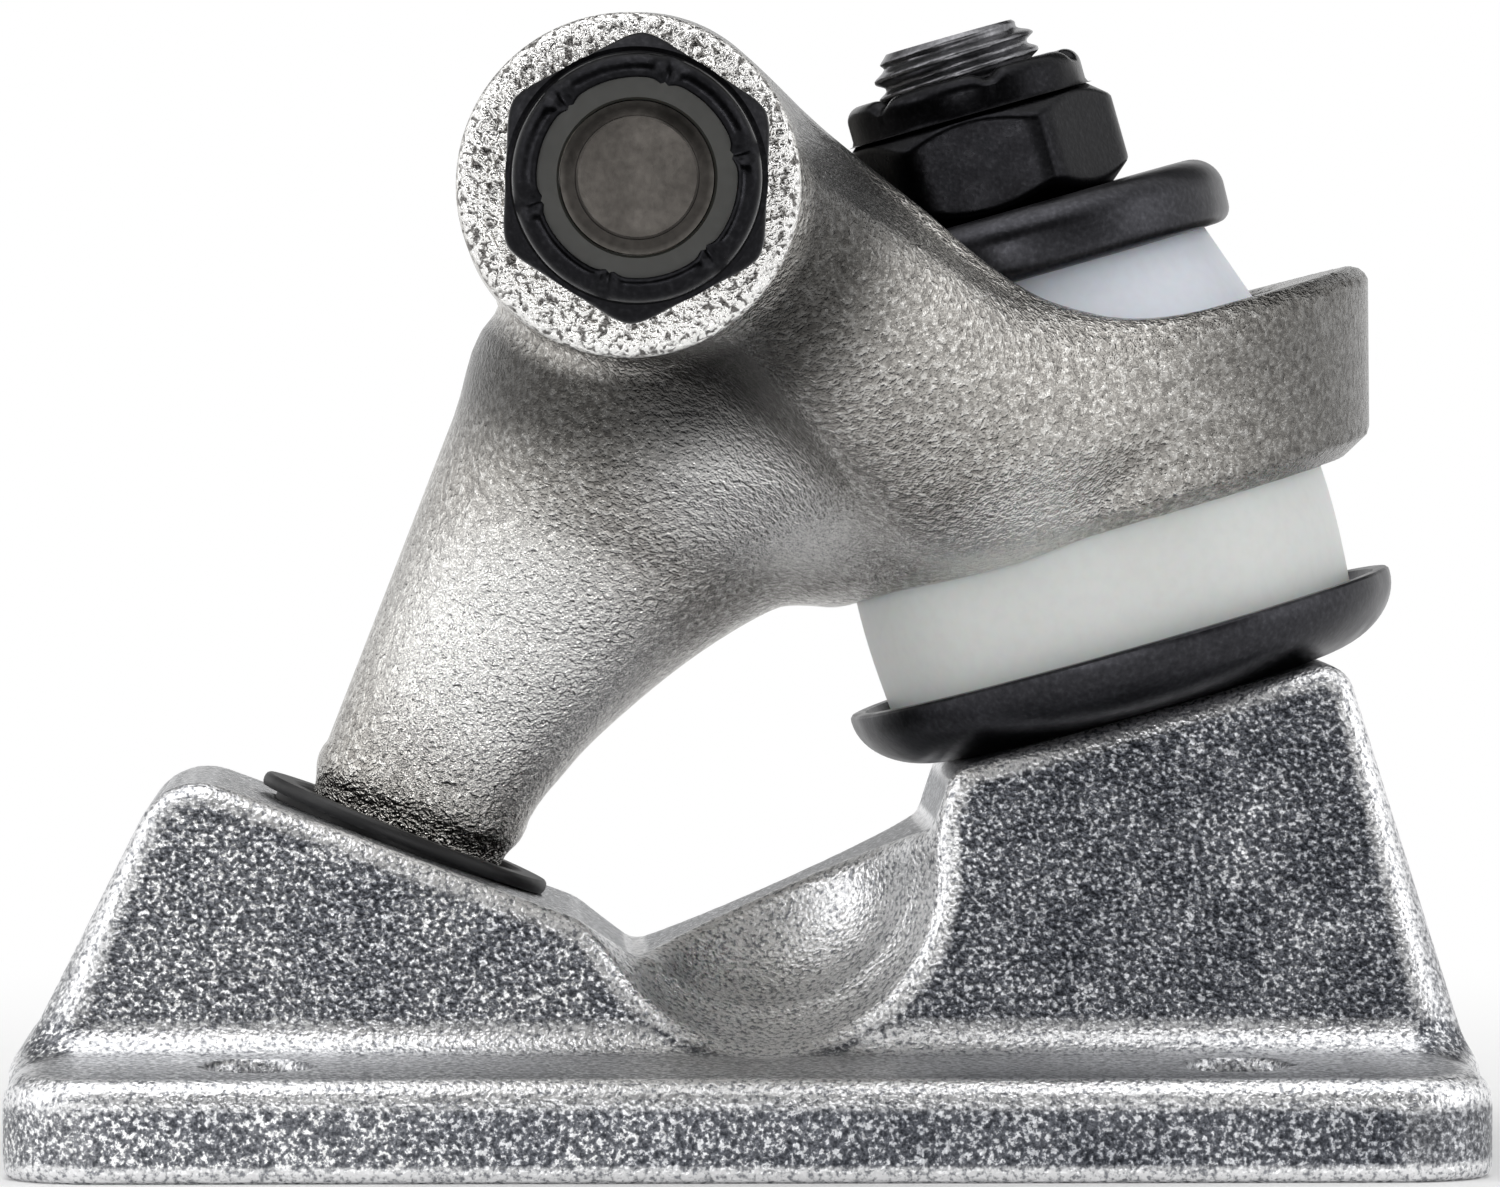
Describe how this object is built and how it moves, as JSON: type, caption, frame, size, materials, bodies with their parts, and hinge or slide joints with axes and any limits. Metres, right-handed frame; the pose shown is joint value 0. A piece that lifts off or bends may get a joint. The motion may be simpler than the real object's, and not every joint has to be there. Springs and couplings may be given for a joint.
{
  "type": "skateboard truck",
  "caption": "Skateboard truck: cast base plate, leaning hanger on a pivot cup and kingpin with white bushings, axle with lock nuts; bolts under a deck and carries the wheels.",
  "frame": {"origin": "middle of the base plate's underside, on the deck face", "axes": "X along the board from the pivot to the kingpin, Y along the axle away from the picture's camera, Z away from the deck"},
  "size_m": [0.082, 0.203, 0.0642],
  "materials": {
    "cast_base": "raw casting, fine grain",
    "cast_hanger": "raw casting, fine grain, machined ends",
    "black_steel": "black oxide, satin",
    "axle_steel": "turned steel",
    "washer_steel": "plated, satin",
    "white_urethane": "smooth cast urethane, slightly translucent",
    "black_urethane": "matt",
    "nylon": "dull"
  },
  "bodies": {
    "base": {"baseplate": "cast_base", "pivot_cup": "black_urethane", "kingpin": "black_steel", "lower_cup_washer": "black_steel", "lower_bushing": "white_urethane", "upper_bushing": "white_urethane", "upper_cup_washer": "black_steel"},
    "hanger": {"hanger": "cast_hanger", "axle": "axle_steel"},
    "kingpin_nut": {"kingpin_nut": "black_steel", "kingpin_nut_insert": "nylon"},
    "front_washers": {"speed_washer_front_inner": "washer_steel", "speed_washer_front_outer": "washer_steel"},
    "front_nut": {"axle_nut_front": "black_steel", "axle_nut_front_insert": "nylon"},
    "back_washers": {"speed_washer_back_inner": "washer_steel", "speed_washer_back_outer": "washer_steel"},
    "back_nut": {"axle_nut_back": "black_steel", "axle_nut_back_insert": "nylon"}
  },
  "joints": [
    {"name": "hanger_lean", "type": "hinge", "parent": "base", "child": "hanger", "pos_m": [-0.02075, 0, 0.01375], "axis": [0.8282, 0, 0.5604], "range_deg": [-15, 15], "stiffness_Nm_per_rad": 30, "deforming": ["lower_bushing", "upper_bushing"]},
    {"name": "kingpin_nut_turn", "type": "hinge", "parent": "base", "child": "kingpin_nut", "pos_m": [0.01362, 0, 0.05695], "axis": [-0.2723, 0, 0.9622], "continuous": true},
    {"name": "axle_nut_front_off", "type": "slide", "parent": "hanger", "child": "front_washers", "axis": [0, -1, 0], "range_m": [0, 0.045]},
    {"name": "axle_nut_front_turn", "type": "hinge", "parent": "front_washers", "child": "front_nut", "pos_m": [-0.0071, -0.0978, 0.0541], "axis": [0, -1, 0], "continuous": true},
    {"name": "axle_nut_back_off", "type": "slide", "parent": "hanger", "child": "back_washers", "axis": [0, 1, 0], "range_m": [0, 0.045]},
    {"name": "axle_nut_back_turn", "type": "hinge", "parent": "back_washers", "child": "back_nut", "pos_m": [-0.0071, 0.0978, 0.0541], "axis": [0, 1, 0], "continuous": true}
  ]
}
